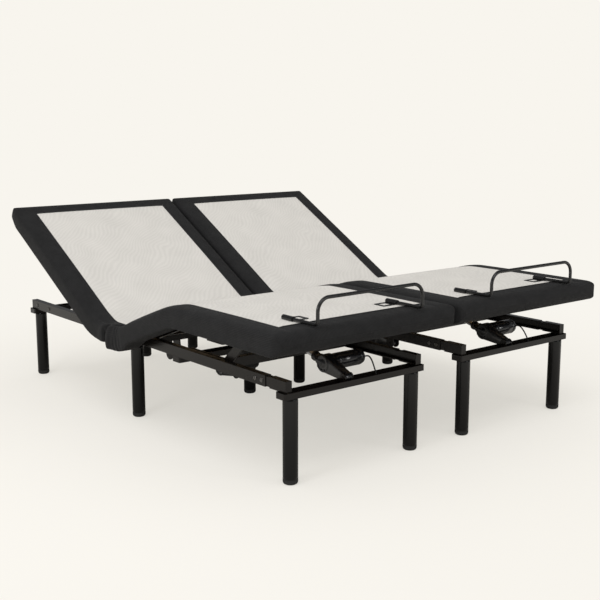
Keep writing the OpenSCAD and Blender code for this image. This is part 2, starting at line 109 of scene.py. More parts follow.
@dataclass(frozen=True)
class Finish:
    """A procedural finish.

    Args:
        name: the material's name.
        light: the lighter of its two colours.
        dark: the darker of its two colours.
        grain: the fine pattern it carries.
        rough: lowest and highest roughness.
        metallic: share of metal.
        sheen: fabric sheen.
        coat: clear coat.
        bump: depth of the fine pattern, in metres.
        pitch: size of the fine pattern, in metres.
        mottle: size of the colour variation, in metres.
        specular: strength of the plain reflection.
        ripple: share of colour in the broad, wandering ribs of a knitted cloth.
    """

    name: str
    light: tuple[float, float, float]
    dark: tuple[float, float, float]
    grain: Grain
    rough: tuple[float, float] = (0.4, 0.6)
    metallic: float = 0.0
    sheen: float = 0.0
    coat: float = 0.0
    bump: float = 0.0002
    pitch: float = 0.003
    mottle: float = 0.08
    specular: float = 0.5
    ripple: float = 0.0

    def build(self) -> bpy.types.Material:
        """Makes the material, once, and returns it."""
        found = bpy.data.materials.get(self.name)
        if found:
            return found
        mat = bpy.data.materials.new(self.name)
        mat.use_nodes = True
        mat.diffuse_color = (*self.light, 1)
        tree = mat.node_tree
        tree.nodes.clear()
        out = tree.nodes.new("ShaderNodeOutputMaterial")
        skin = tree.nodes.new("ShaderNodeBsdfPrincipled")
        tree.links.new(skin.outputs["BSDF"], out.inputs["Surface"])
        skin.inputs["Metallic"].default_value = self.metallic
        skin.inputs["Sheen Weight"].default_value = self.sheen
        skin.inputs["Sheen Roughness"].default_value = 0.45
        skin.inputs["Coat Weight"].default_value = self.coat
        skin.inputs["Coat Roughness"].default_value = 0.12
        skin.inputs["Specular IOR Level"].default_value = self.specular
        place = tree.nodes.new("ShaderNodeTexCoord")
        where = place.outputs["UV" if self.grain is Grain.WEAVE else "Object"]
        blotch = self._noise(tree, where, 1 / self.mottle, 4)
        mix = tree.nodes.new("ShaderNodeMix")
        mix.data_type = "RGBA"
        mix.inputs[6].default_value = (*self.dark, 1)
        mix.inputs[7].default_value = (*self.light, 1)
        fine, share = self._grain(tree, where)
        blend = tree.nodes.new("ShaderNodeMath")
        blend.operation = "MULTIPLY_ADD"
        tree.links.new(fine, blend.inputs[0])
        blend.inputs[1].default_value = share
        lowered = tree.nodes.new("ShaderNodeMath")
        lowered.operation = "MULTIPLY"
        lowered.inputs[1].default_value = 1 - share
        tree.links.new(blotch, lowered.inputs[0])
        tree.links.new(lowered.outputs[0], blend.inputs[2])
        chosen = blend.outputs[0]
        if self.ripple:
            ribs = self._wave(tree, where, 0.0105, "DIAGONAL", 30.0)
            add = tree.nodes.new("ShaderNodeMath")
            add.operation = "MULTIPLY_ADD"
            tree.links.new(ribs, add.inputs[0])
            add.inputs[1].default_value = self.ripple
            tree.links.new(chosen, add.inputs[2])
            chosen = add.outputs[0]
        tree.links.new(chosen, mix.inputs[0])
        tree.links.new(mix.outputs[2], skin.inputs["Base Color"])
        spread = tree.nodes.new("ShaderNodeMapRange")
        spread.inputs["To Min"].default_value = self.rough[0]
        spread.inputs["To Max"].default_value = self.rough[1]
        tree.links.new(self._noise(tree, where, 2.3 / self.mottle, 5), spread.inputs["Value"])
        tree.links.new(spread.outputs["Result"], skin.inputs["Roughness"])
        bump = tree.nodes.new("ShaderNodeBump")
        bump.inputs["Distance"].default_value = self.bump
        bump.inputs["Strength"].default_value = 1.0
        tree.links.new(fine, bump.inputs["Height"])
        tree.links.new(bump.outputs["Normal"], skin.inputs["Normal"])
        if self.grain in (Grain.POWDER, Grain.MOULDED):
            edge = tree.nodes.new("ShaderNodeBevel")
            edge.samples = 4
            edge.inputs["Radius"].default_value = 0.0016
            tree.links.new(edge.outputs["Normal"], bump.inputs["Normal"])
        return mat

    @staticmethod
    def _noise(tree: bpy.types.NodeTree, where: bpy.types.NodeSocket, scale: float,
               detail: float) -> bpy.types.NodeSocket:
        """Fractal noise at a scale in cycles a metre."""
        node = tree.nodes.new("ShaderNodeTexNoise")
        node.inputs["Scale"].default_value = scale
        node.inputs["Detail"].default_value = detail
        tree.links.new(where, node.inputs["Vector"])
        return node.outputs["Fac"]

    @staticmethod
    def _wave(tree: bpy.types.NodeTree, where: bpy.types.NodeSocket, pitch: float,
              axis: str, wander: float = 0.6) -> bpy.types.NodeSocket:
        """Parallel threads a pitch apart, along one axis of the pattern, slightly uneven."""
        node = tree.nodes.new("ShaderNodeTexWave")
        node.wave_type = "BANDS"
        node.bands_direction = axis
        node.inputs["Scale"].default_value = 0.314 / pitch
        node.inputs["Distortion"].default_value = wander
        node.inputs["Detail"].default_value = 1.0
        node.inputs["Detail Scale"].default_value = 2.0 if wander < 1 else 0.17
        tree.links.new(where, node.inputs["Vector"])
        return node.outputs["Fac"]

    def _grain(self, tree: bpy.types.NodeTree,
               where: bpy.types.NodeSocket) -> tuple[bpy.types.NodeSocket, float]:
        """The fine pattern's height, and how much of the colour it carries."""
        if self.grain is Grain.WEAVE:
            both = tree.nodes.new("ShaderNodeMath")
            both.operation = "MULTIPLY"
            tree.links.new(self._wave(tree, where, self.pitch, "X"), both.inputs[0])
            tree.links.new(self._wave(tree, where, self.pitch * 0.8, "Y"), both.inputs[1])
            return both.outputs[0], 0.35
        if self.grain in (Grain.BRUSHED, Grain.VENEER):
            stretch = tree.nodes.new("ShaderNodeMapping")
            stretch.inputs["Scale"].default_value = (1.0, 0.04, 1.0)
            tree.links.new(where, stretch.inputs["Vector"])
            return self._noise(tree, stretch.outputs["Vector"], 1 / self.pitch, 3), 0.5
        detail = 1 if self.grain is Grain.ENAMEL else 3
        return self._noise(tree, where, 1 / self.pitch, detail), 0.25


CHARCOAL = Finish("charcoal_weave", (0.0165, 0.0165, 0.0175), (0.0035, 0.0035, 0.004),
                  Grain.WEAVE, (0.66, 0.9), sheen=0.03, bump=0.0009,
                  pitch=0.0052, mottle=0.05, specular=0.22)
PANEL = Finish("stone_grey_weave", (0.56, 0.548, 0.532), (0.42, 0.412, 0.40), Grain.WEAVE,
               (0.85, 0.97), sheen=0.05, bump=0.0004, pitch=0.0026, mottle=0.11, specular=0.2,
               ripple=0.24)
PIPING = Finish("charcoal_cord", (0.03, 0.03, 0.032), (0.014, 0.014, 0.015), Grain.WEAVE,
                (0.7, 0.85), bump=0.0003, pitch=0.002, mottle=0.03, specular=0.3)
FRAME_STEEL = Finish("umber_powder_coat", (0.0085, 0.0067, 0.0055), (0.004, 0.0032, 0.0027),
                     Grain.POWDER, (0.20, 0.31), bump=0.00005,
                     pitch=0.0016, mottle=0.12, specular=0.26)
LEG_ENAMEL = Finish("black_enamel", (0.0035, 0.0033, 0.003), (0.002, 0.002, 0.002), Grain.ENAMEL,
                    (0.10, 0.17), bump=0.00002, pitch=0.006, mottle=0.1, specular=0.3)
HOUSING = Finish("black_drive_shell", (0.007, 0.0075, 0.009), (0.003, 0.0033, 0.004), Grain.MOULDED,
                 (0.16, 0.28), bump=0.00006, pitch=0.0012, mottle=0.06, specular=0.6)
ROD = Finish("drawn_steel", (0.66, 0.66, 0.66), (0.44, 0.44, 0.45), Grain.BRUSHED,
             (0.22, 0.38), metallic=1.0, bump=0.00004, pitch=0.0012, mottle=0.05)
DARK_RIVET = Finish("browned_rivet", (0.05, 0.045, 0.04), (0.03, 0.027, 0.024), Grain.POWDER,
                    (0.25, 0.4), bump=0.00003, pitch=0.001, mottle=0.1)
ZINC = Finish("zinc_plate", (0.46, 0.45, 0.43), (0.30, 0.30, 0.29), Grain.POWDER,
              (0.3, 0.5), metallic=1.0, bump=0.00004, pitch=0.001, mottle=0.02)
STOP_BLACK = Finish("satin_black_coat", (0.007, 0.007, 0.0072), (0.004, 0.004, 0.004), Grain.POWDER,
                    (0.22, 0.34), bump=0.00004, pitch=0.0014, mottle=0.05)
RUBBER = Finish("black_rubber", (0.014, 0.014, 0.014), (0.008, 0.008, 0.008), Grain.MOULDED,
                (0.6, 0.8), bump=0.0001, pitch=0.0015, mottle=0.03)
PLY = Finish("birch_ply", (0.58, 0.44, 0.29), (0.42, 0.31, 0.19), Grain.VENEER,
             (0.6, 0.75), bump=0.0001, pitch=0.004, mottle=0.2)

NODE_FINISH: dict[str, Finish] = {
    "side_rails": FRAME_STEEL, "rail_sleeves": FRAME_STEEL, "foot_crossbar": FRAME_STEEL,
    "head_crossbar": FRAME_STEEL, "middle_crossbar": FRAME_STEEL, "drive_beam": FRAME_STEEL,
    "drive_clevises": FRAME_STEEL, "head_frame": FRAME_STEEL, "thigh_frame": FRAME_STEEL,
    "foot_frame": FRAME_STEEL, "support_arms": FRAME_STEEL, "legs": LEG_ENAMEL,
    "seat_board": PLY, "head_board": PLY, "thigh_board": PLY, "foot_board": PLY,
    "control_box": HOUSING, "back_motor": HOUSING, "leg_motor": HOUSING, "back_rod": ROD,
    "leg_rod": ROD, "motor_cable": RUBBER, "mattress_stop": STOP_BLACK,
    "stop_sockets": STOP_BLACK, "leg_caps": RUBBER, "frame_fasteners": ZINC,
    "hinge_pins": ZINC, "seat_pad": CHARCOAL, "head_pad": CHARCOAL, "thigh_pad": CHARCOAL,
    "foot_pad": CHARCOAL,
}


# ---- Meshes from arrays ----


def new_piece(name: str, verts: Points, faces: Points, finish: Finish,
              smooth: bool = True) -> bpy.types.Object:
    """Makes an object at the origin from arrays of corners and faces.

    Args:
        name: the piece's name.
        verts: corners, one row each.
        faces: corner numbers, one row each.
        finish: its finish.
        smooth: whether its faces are shaded smooth.

    Returns:
        The new object, linked to the scene.
    """
    mesh = bpy.data.meshes.new(name)
    mesh.from_pydata(verts.tolist(), [], faces.tolist())
    mesh.polygons.foreach_set("use_smooth", np.full(len(mesh.polygons), smooth))
    mesh.materials.append(finish.build())
    mesh.validate()
    piece = bpy.data.objects.new(name, mesh)
    bpy.context.scene.collection.objects.link(piece)
    return piece


def grid_faces(rows: int, columns: int, close_rows: bool = False,
               close_columns: bool = True) -> Points:
    """Quads over a grid of corners, row by row; a closed direction joins its ends."""
    i = np.arange(rows if close_rows else rows - 1)
    j = np.arange(columns if close_columns else columns - 1)
    a, b = np.meshgrid(i, j, indexing="ij")
    a2, b2 = (a + 1) % rows, (b + 1) % columns
    quads = np.stack([a * columns + b, a * columns + b2, a2 * columns + b2, a2 * columns + b], -1)
    return quads.reshape(-1, 4)


def frames_along(path: Points, up: tuple[float, float, float]) -> tuple[Points, Points]:
    """Two directions square to a path at each point: cross of heading and up, and its partner."""
    heading = np.gradient(path, axis=0)
    heading /= np.linalg.norm(heading, axis=1, keepdims=True)
    side = np.cross(heading, np.asarray(up, float))
    side /= np.linalg.norm(side, axis=1, keepdims=True)
    return side, np.cross(side, heading)


def tube(path: Points, radius: float, up: tuple[float, float, float],
         around: int = 10) -> tuple[Points, Points]:
    """A closed round tube: ring k at a path point is point + radius (cos k side + sin k partner).

    Args:
        path: points along the tube's middle.
        radius: the tube's radius.
        up: a direction that the path never runs along.
        around: corners in each ring.

    Returns:
        Corners and faces, its ends drawn in to rounded noses.
    """
    side, partner = frames_along(path, up)
    turn = np.linspace(0, 2 * np.pi, around, endpoint=False)
    heading = np.cross(partner, side)
    nose = np.array([0.0, 0.6])
    reach = radius * np.sqrt(1 - nose ** 2)[:, None]
    start = path[0] - heading[0] * reach
    end = path[-1] + heading[-1] * reach[::-1]
    line = np.vstack([start, path, end])
    size = np.concatenate([nose * radius, np.full(len(path), radius), nose[::-1] * radius])
    side = np.vstack([side[:1], side[:1], side, side[-1:], side[-1:]])
    partner = np.vstack([partner[:1], partner[:1], partner, partner[-1:], partner[-1:]])
    ring = (np.cos(turn)[None, :, None] * side[:, None]
            + np.sin(turn)[None, :, None] * partner[:, None])
    verts = (line[:, None] + ring * size[:, None, None]).reshape(-1, 3)
    return verts, grid_faces(len(line), around)


def lathe(profile: Points, centre: Points, axis: Points, around: int = 32) -> tuple[Points, Points]:
    """A turned shape: each profile point (radius, distance along the axis) makes one ring.

    Args:
        profile: rows of radius and distance along the axis.
        centre: where the distance is nought.
        axis: unit direction of the axis.
        around: corners in each ring.

    Returns:
        Corners and faces.
    """
    axis = np.asarray(axis, float)
    helper = np.array([0, 0, 1.0]) if abs(axis[2]) < 0.9 else np.array([1.0, 0, 0])
    a = np.cross(helper, axis)
    a /= np.linalg.norm(a)
    b = np.cross(axis, a)
    turn = np.linspace(0, 2 * np.pi, around, endpoint=False)
    ring = np.cos(turn)[None, :, None] * a + np.sin(turn)[None, :, None] * b
    verts = (np.asarray(centre, float) + profile[:, 1, None, None] * axis
             + profile[:, 0, None, None] * ring).reshape(-1, 3)
    return verts, grid_faces(len(profile), around)


def join_parts(parts: list[tuple[Points, Points]]) -> tuple[Points, Points]:
    """Puts several sets of corners and faces into one."""
    offsets = np.cumsum([0] + [len(v) for v, _ in parts[:-1]])
    return (np.vstack([v for v, _ in parts]),
            np.vstack([f + o for (_, f), o in zip(parts, offsets)]))


def tidy_normals(piece: bpy.types.Object, merge: float = 1e-5) -> None:
    """Merges doubled corners and points every face outwards."""
    mesh = bmesh.new()
    mesh.from_mesh(piece.data)
    bmesh.ops.remove_doubles(mesh, verts=mesh.verts, dist=merge)
    bmesh.ops.recalc_face_normals(mesh, faces=mesh.faces)
    mesh.to_mesh(piece.data)
    mesh.free()


# ---- Upholstered deck ----


@dataclass
class DeckPath:
    """The hinge line of one half's deck, seen from the side, with soft bends.

    Its heading is a sum of ramps, one at each hinge; its points are the running sum of
    (cosine, sine) of that heading.
    """

    half: str
    joints: dict[str, dict]
    foot_len: float = 0.608
    head_len: float = 0.830
    knee_bend: float = 0.22
    seat_bend: float = 0.24
    step: float = 0.0005

    def __post_init__(self) -> None:
        """Works out the heading and the points along the deck."""
        spots = {n: np.array(self.joints[f"{self.half}_{n}"]["pos_m"])
                 for n in ("knee", "thigh_tilt", "backrest_tilt")}
        self.x = float(spots["knee"][0])
        knee, hip, waist = spots["knee"][1:], spots["thigh_tilt"][1:], spots["backrest_tilt"][1:]
        thigh = hip - knee
        self.thigh_angle = math.atan2(thigh[1], thigh[0])
        self.back_angle = -math.radians(self.joints[f"{self.half}_backrest_tilt"]["range_deg"][0])
        lengths = [self.foot_len, float(np.linalg.norm(thigh)), float(waist[0] - hip[0]),
                   self.head_len]
        turns = [self.thigh_angle, -self.thigh_angle, self.back_angle]
        radii = [self.knee_bend, self.seat_bend, self.seat_bend]
        tangents = [r * math.tan(abs(t) / 2) for r, t in zip(radii, turns)]
        arcs = [r * abs(t) for r, t in zip(radii, turns)]
        self.marks: list[float] = []
        at, knots, angles = 0.0, [0.0], [0.0]
        for i in range(3):
            at += lengths[i] - (tangents[i - 1] if i else 0) - tangents[i]
            knots.append(at)
            angles.append(angles[-1])
            self.marks.append(at + arcs[i] / 2)
            at += arcs[i]
            knots.append(at)
            angles.append(angles[-1] + turns[i])
        at += lengths[3] - tangents[2]
        knots.append(at)
        angles.append(angles[-1])
        self.length = at
        self.s = np.arange(0, at + self.step, self.step)
        self.heading = np.interp(self.s, knots, angles)
        middle = (self.heading[1:] + self.heading[:-1]) / 2
        run, climb = (np.concatenate([[0], np.cumsum(part(middle))]) * self.step
                      for part in (np.cos, np.sin))
        self.y = knee[0] - self.foot_len + run
        self.z = knee[1] + climb

    def place(self, s: Points, x: Points, v: Points) -> Points:
        """Turns (along, across, up) on the deck into the row's frame: path point + v times normal."""
        angle = np.interp(s, self.s, self.heading)
        y = np.interp(s, self.s, self.y) - v * np.sin(angle)
        z = np.interp(s, self.s, self.z) + v * np.cos(angle)
        return np.stack([self.x + x, y, z], -1)


def bell(s: Points, middle: float, width: float) -> Points:
    """A smooth hump, 1 at the middle and near nought two widths away."""
    return np.exp(-((s - middle) / width) ** 2)


def ease(t: Points) -> Points:
    """Smooth step from 0 to 1."""
    t = np.clip(t, 0, 1)
    return t * t * (3 - 2 * t)


@dataclass
class DeckCover:
    """The upholstery of one half: one skin over all four sections, cut where each piece's joint ends.

    The skin is a grid: columns run round a section and rows run along the deck. Near each end
    the rows draw in to a rounded edge.
    """

    path: DeckPath
    half_width: float = 0.3985
    top: float = 0.058
    lip: float = -0.018
    inner: float = 0.316
    pocket: float = 0.033
    panel: float = 0.318
    foot_border: float = 0.088
    head_border: float = 0.080
    foot_lip: float = 0.082
    head_lip: float = 0.064
    end_round: float = 0.036
    sweep: float = 0.030
    sweep_run: float = 0.085
    seam_back: float = 0.148
    puff_cap: float = 0.006
    pieces: list[bpy.types.Object] = field(default_factory=list)

    def columns(self) -> None:
        """Sets the section's corner points, from the middle of the underside round to it again."""
        w, e = self.half_width, 0.024
        under = np.linspace(0.0, self.inner, 7)
        turn = np.linspace(0, np.pi / 2, 6)[1:-1]
        low = 0.010
        parts = [
            np.stack([under, np.full(7, self.pocket)], 1),
            [[self.inner, 0.016], [self.inner, 0.0], [self.inner + 0.002, self.lip + 0.004]],
            [[self.inner + 0.006, self.lip], [0.338, self.lip], [0.360, self.lip], [0.378, self.lip]],
            np.stack([w - low + low * np.sin(turn), self.lip + low - low * np.cos(turn)], 1),
            [[w, self.lip + low], [w, 0.0], [w, 0.011], [w, 0.022]],
            np.stack([w - e + e * np.cos(turn), self.top - e + e * np.sin(turn)], 1),
            [[w - e, self.top], [0.362, self.top], [0.350, self.top], [0.338, self.top],
             [0.328, self.top]],
        ]
        right = np.vstack([np.asarray(p, float) for p in parts])
        panel = np.linspace(self.panel, -self.panel, PANEL_COLUMNS)
        top = np.stack([panel, np.full(PANEL_COLUMNS, self.top)], 1)
        left = right[::-1] * (-1, 1)
        loop = np.vstack([right, top, left[:-1]])
        self.px, self.pv = loop[:, 0], loop[:, 1]
        self.is_under = np.isclose(self.pv, self.pocket)
        self.is_tucked = (np.abs(self.px) <= self.inner + 0.003) & (self.pv < self.top - 0.001)
        step = np.hypot(np.diff(self.px, prepend=self.px[0]), np.diff(self.pv, prepend=self.pv[0]))
        self.round_length = np.cumsum(step)
        self.edge_columns = [len(right), len(right) + PANEL_COLUMNS - 1]

    def rows(self) -> None:
        """Sets the rows' places along the deck, and how far each is drawn in."""
        n, r, length = 6, self.end_round, self.path.length
        turn = np.linspace(0, np.pi / 2, n)
        marks = [self.foot_border, self.foot_lip, self.foot_lip + 0.002, length - self.head_border,
                 length - self.head_lip - 0.002, length - self.head_lip]
        knee, hip, waist = self.path.marks
        self.cuts = [knee + THIGH_CUT * (hip - knee), (hip + waist) / 2]
        body = np.arange(r + 0.010, length - r - 0.004, 0.0115)
        seam = waist - self.seam_back
        body = body[np.abs(body - seam) > 0.062]
        body = np.sort(np.concatenate([body, np.arange(seam - 0.06, seam + 0.0601, 0.004)]))
        for mark in marks + self.cuts:
            body = body[np.abs(body - mark) > 0.0018]
        body = np.sort(np.concatenate([body, marks, self.cuts]))
        half = (self.top - self.lip) / 2
        face = np.linspace(r, half, 5)[1:]
        foot_s = np.concatenate([np.zeros(4), r - r * np.cos(turn)])
        foot_in = np.concatenate([face[::-1], r - r * np.sin(turn)])
        self.rs = np.concatenate([foot_s, body, length - foot_s[::-1]])
        self.inset = np.concatenate([foot_in, np.zeros(len(body)), foot_in[::-1]])
        self.border_rows = [int(np.argmin(np.abs(self.rs - self.foot_border))),
                            int(np.argmin(np.abs(self.rs - (length - self.head_border))))]
        self.cut_rows = [int(np.argmin(np.abs(self.rs - c))) for c in self.cuts]

    def surface(self) -> Points:
        """The skin at rest: the section's points, crowned, folded and drawn in at the ends."""
        s, x = np.meshgrid(self.rs, self.px, indexing="ij")
        v = np.broadcast_to(self.pv, s.shape).copy()
        inset = np.broadcast_to(self.inset[:, None], s.shape)
        knee, hip, waist = self.path.marks
        length = self.path.length
        in_lip = (s < self.foot_lip + 0.001) | (s > length - self.head_lip - 0.001)
        v = np.where(self.is_tucked[None] & in_lip, self.lip, v)
        on_top = np.broadcast_to(np.isclose(self.pv, self.top)[None], s.shape)
        across = np.clip(np.abs(x) / self.panel, 0, 1)
        # Each section is crowned: low at the hinges and the edges, high in its middle
        crown = np.zeros_like(s)
        for low, high, rise in ((0, knee, 0.004), (knee, hip, 0.009), (hip, waist, 0.002),
                                (waist, length, 0.006)):
            t = np.clip((s - low) / (high - low), 0, 1)
            crown += rise * np.sin(np.pi * t) ** 0.8 * ((s >= low) & (s < high))
        v += np.where(on_top, crown * (1 - 0.55 * across ** 3), 0)
        border = on_top & (np.abs(x) > self.panel + 0.001)
        over_border = np.clip((np.abs(x) - self.panel) / 0.056, 0, 1)
        v += np.where(border, 0.0022 * np.sin(np.pi * over_border), 0)
        seam = on_top & np.isclose(np.abs(x), self.panel)
        v -= np.where(seam, 0.0018, 0)
        # The seat is slack: it lies lower than its neighbours, and its sides hang lower still
        slack = ease((s - hip + 0.09) / 0.11) * ease((waist + 0.03 - s) / 0.11)
        v -= np.where(on_top, 0.013 * slack, 0)
        low_side = (self.pv < self.lip + UNDER_ZONE)[None] & (np.abs(x) > self.inner - 0.001)
        seam_low = waist - self.seam_back + 0.052
        v -= np.where(low_side, 0.021 * slack * ease((seam_low - s) / 0.026), 0)
        at_side = np.abs(x) > self.half_width - SIDE_ZONE
        sag = (self.pv < 0.03)[None] & at_side & ~low_side
        v -= np.where(sag, 0.013 * slack * ease((seam_low - s) / 0.03), 0)
        out = at_side & ~self.is_under[None]
        wave = np.sin(s * 2 * np.pi / 0.023 + 2 * np.sin(v * 60 + x * 3))
        pinch = (bell(s, hip + 0.01, 0.04) + 0.35 * bell(s, waist - 0.01, 0.03)) * out
        x = x - np.sign(x) * (0.003 * pinch + 0.0016 * pinch * wave)
        # The backrest's sleeve ends in a slanting seam: a groove with a fuller lip behind it
        ring = np.minimum(self.round_length, self.round_length[-1] - self.round_length)
        down = np.clip((self.round_length[self.edge_columns[0]] - ring) / 0.155, 0, 1)[None]
        skirt = (np.abs(x) > self.panel + 0.001) & ~self.is_tucked[None]
        gap = s - (waist - self.seam_back - 0.042 + 0.088 * down ** 1.3)
        dip = (0.014 * bell(gap, 0, 0.0052) - 0.0055 * bell(gap, 0.024, 0.018)
               - 0.005 * bell(gap, -0.022, 0.014))
        x = x - np.where(skirt & out, np.sign(x) * dip, 0)
        v -= np.where(skirt & on_top, dip, 0)
        # Each foot corner is tucked: a soft crease down its edge, deepest at the bottom
        depth = np.clip((self.top - v) / (self.top - self.lip), 0, 1)
        at_edge = np.abs(x) > self.half_width - 0.02
        crease = bell(s, self.end_round * 0.30, 0.010) * at_edge * ease(depth * 1.5)
        crease = crease * ~self.is_tucked[None] * ~self.is_under[None]
        x = x - np.sign(x) * 0.009 * crease
        puffed = bell(s, 0.07, 0.035) + bell(s, length - 0.08, 0.05)
        x = x + np.sign(x) * 0.003 * puffed * out * np.sin(np.pi * np.clip(depth, 0, 1))
        # The skirt's lower edge sweeps up to the head end
        rise = ease((s - length + self.sweep_run) / self.sweep_run) * depth ** 2
        v += self.sweep * rise * ~self.is_under[None]
        # Gathers in the end borders run along the deck
        near_end = np.maximum(bell(s, 0.02, 0.05), 0.6 * bell(s, length - 0.02, 0.045)) * on_top
        gather = (np.sin(x * 2 * np.pi / 0.031 + 2.3 * np.sin(x * 17))
                  + 0.6 * np.sin(x * 2 * np.pi / 0.019 + 1))
        v += 0.0008 * near_end * gather
        limit = self.half_width + 0.0045 - inset
        x = np.clip(x, -limit, limit)
        drawn = inset > 0
        floor = self.lip + self.sweep * ease((s - length + self.sweep_run) / self.sweep_run)
        v = np.where(drawn, np.clip(v, np.minimum(floor + inset, self.top - inset),
                                    self.top + crown * 0.5 - inset), v)
        draw = np.where(s < length / 2, -inset, inset)
        self.uv = np.stack([np.broadcast_to(self.round_length[None], s.shape), s + draw], -1)
        return self.path.place(s, x, v)

    def puff(self, piece: bpy.types.Object, rest: Points) -> None:
        """Fills the cover by cloth simulation, its seams and underside held, and caps the swell.

        Args:
            piece: the cover's mesh, changed in place.
            rest: its corners before the simulation.
        """
        rows, columns = len(self.rs), len(self.px)
        hold = np.zeros((rows, columns))
        hold[:, self.pv < self.lip + UNDER_ZONE] = 1
        hold[:, self.is_under] = 1
        hold[:, np.isclose(np.abs(self.px), self.inner, atol=0.003)] = 1
        edge = slice(self.border_rows[0], self.border_rows[1] + 1)
        for column in self.edge_columns:
            hold[edge, column] = 0.9
        top = (np.abs(self.px) <= self.panel + 1e-6) & np.isclose(self.pv, self.top)
        for row in self.border_rows:
            hold[row, top] = 0.9
        for mark in self.path.marks[1:]:
            near = np.abs(self.rs - mark) < 0.007
            hold[near, :] = np.maximum(hold[near, :], 0.85)
        hold[self.inset > self.end_round + 1e-6] = 1
        group = piece.vertex_groups.new(name="hold")
        flat = hold.ravel()
        for level in np.unique(flat[flat > 0]):
            group.add(np.nonzero(flat == level)[0].tolist(), float(level), "REPLACE")
        cloth = piece.modifiers.new("fill", "CLOTH")
        cloth.settings.vertex_group_mass = "hold"
        cloth.settings.quality = 4
        cloth.settings.mass = 0.4
        cloth.settings.tension_stiffness = 12
        cloth.settings.compression_stiffness = 12
        cloth.settings.bending_stiffness = 0.6
        cloth.settings.use_pressure = True
        cloth.settings.uniform_pressure_force = 3.5
        cloth.settings.shrink_min = -0.012
        cloth.settings.effector_weights.gravity = 0
        cloth.collision_settings.use_collision = False
        cloth.point_cache.frame_start = 1
        cloth.point_cache.frame_end = FILL_FRAMES
        scene = bpy.context.scene
        for frame in range(1, FILL_FRAMES + 1):
            scene.frame_set(frame)
        shape = piece.evaluated_get(bpy.context.evaluated_depsgraph_get())
        moved = np.empty(len(rest) * 3, np.float32)
        shape.data.vertices.foreach_get("co", moved)
        shift = moved.reshape(-1, 3) - rest
        size = np.linalg.norm(shift, axis=1, keepdims=True)
        shift *= np.minimum(1, self.puff_cap / np.maximum(size, 1e-9))
        result = rest + shift
        x = np.clip(result[:, 0] - self.path.x, -WIDEST, WIDEST)
        result[:, 0] = self.path.x + x
        piece.modifiers.clear()
        piece.vertex_groups.clear()
        piece.data.vertices.foreach_set("co", result.astype(np.float32).ravel())
        piece.data.update()
        scene.frame_set(1)

    def skin(self) -> bpy.types.Object:
        """Makes the whole cover: grid, material regions and cloth fill."""
        self.columns()
        self.rows()
        rest = self.surface().reshape(-1, 3)
        rows, columns = len(self.rs), len(self.px)
        faces = grid_faces(rows, columns)[:, ::-1]
        piece = new_piece("cover_blank", rest, faces, CHARCOAL)
        piece.data.materials.append(PANEL.build())
        # The top panel is the band of faces inside its seam
        row, column = np.divmod(np.arange((rows - 1) * columns), columns)
        inside = ((column >= self.edge_columns[0]) & (column < self.edge_columns[1])
                  & (row >= self.border_rows[0]) & (row < self.border_rows[1]))
        piece.data.polygons.foreach_set("material_index", inside.astype(np.int32))
        layer = piece.data.uv_layers.new(name="cloth")
        loops = np.empty(len(piece.data.loops), np.int64)
        piece.data.loops.foreach_get("vertex_index", loops)
        layer.data.foreach_set("uv", self.uv.reshape(-1, 2)[loops].astype(np.float32).ravel())
        cut = piece.data.attributes.new("along", "FLOAT", "POINT")
        cut.data.foreach_set("value", np.repeat(self.rs, columns).astype(np.float32))
        self.puff(piece, rest)
        co = np.empty(len(rest) * 3, np.float32)
        piece.data.vertices.foreach_get("co", co)
        self.net = co.reshape(rows, columns, 3).astype(float)
        return piece

    def split(self, blank: bpy.types.Object) -> list[bpy.types.Object]:
        """Subdivides the cover, then cuts it into three pieces whose shading still meets.

        Args:
            blank: the whole cover, which is removed.

        Returns:
            The foot, thigh and head pieces.
        """
        smooth = blank.modifiers.new("smooth", "SUBSURF")
        smooth.levels = smooth.render_levels = 1
        smooth.boundary_smooth = "PRESERVE_CORNERS"
        bpy.context.view_layer.update()
        graph = bpy.context.evaluated_depsgraph_get()
        fine = bpy.data.meshes.new_from_object(blank.evaluated_get(graph))
        count = len(fine.vertices)
        co, nor = np.empty(count * 3, np.float32), np.empty(count * 3, np.float32)
        fine.vertices.foreach_get("co", co)
        fine.vertex_normals.foreach_get("vector", nor)
        co, nor = co.reshape(-1, 3), nor.reshape(-1, 3)
        along = np.empty(count, np.float32)
        fine.attributes["along"].data.foreach_get("value", along)
        polygons = len(fine.polygons)
        corner = np.empty(polygons * 4, np.int64)
        fine.loops.foreach_get("vertex_index", corner)
        corner = corner.reshape(-1, 4)
        region = np.empty(polygons, np.int32)
        fine.polygons.foreach_get("material_index", region)
        uv = np.empty(polygons * 8, np.float32)
        fine.uv_layers[0].data.foreach_get("uv", uv)
        uv = uv.reshape(-1, 4, 2)
        middle = along[corner].mean(1)
        bounds = [-1.0, *self.cuts, 99.0]
        made = []
        for index, name in enumerate(COVERS):
            keep = (middle > bounds[index]) & (middle <= bounds[index + 1])
            used, packed = np.unique(corner[keep], return_inverse=True)
            piece = new_piece(f"{self.path.half}_{name}", co[used], packed.reshape(-1, 4), CHARCOAL)
            piece.data.materials.append(PANEL.build())
            piece.data.polygons.foreach_set("material_index", region[keep])
            layer = piece.data.uv_layers.new(name="cloth")
            layer.data.foreach_set("uv", uv[keep].ravel())
            piece.data.normals_split_custom_set_from_vertices(nor[used].tolist())
            made.append(piece)
        bpy.data.objects.remove(blank)
        bpy.data.meshes.remove(fine)
        return made

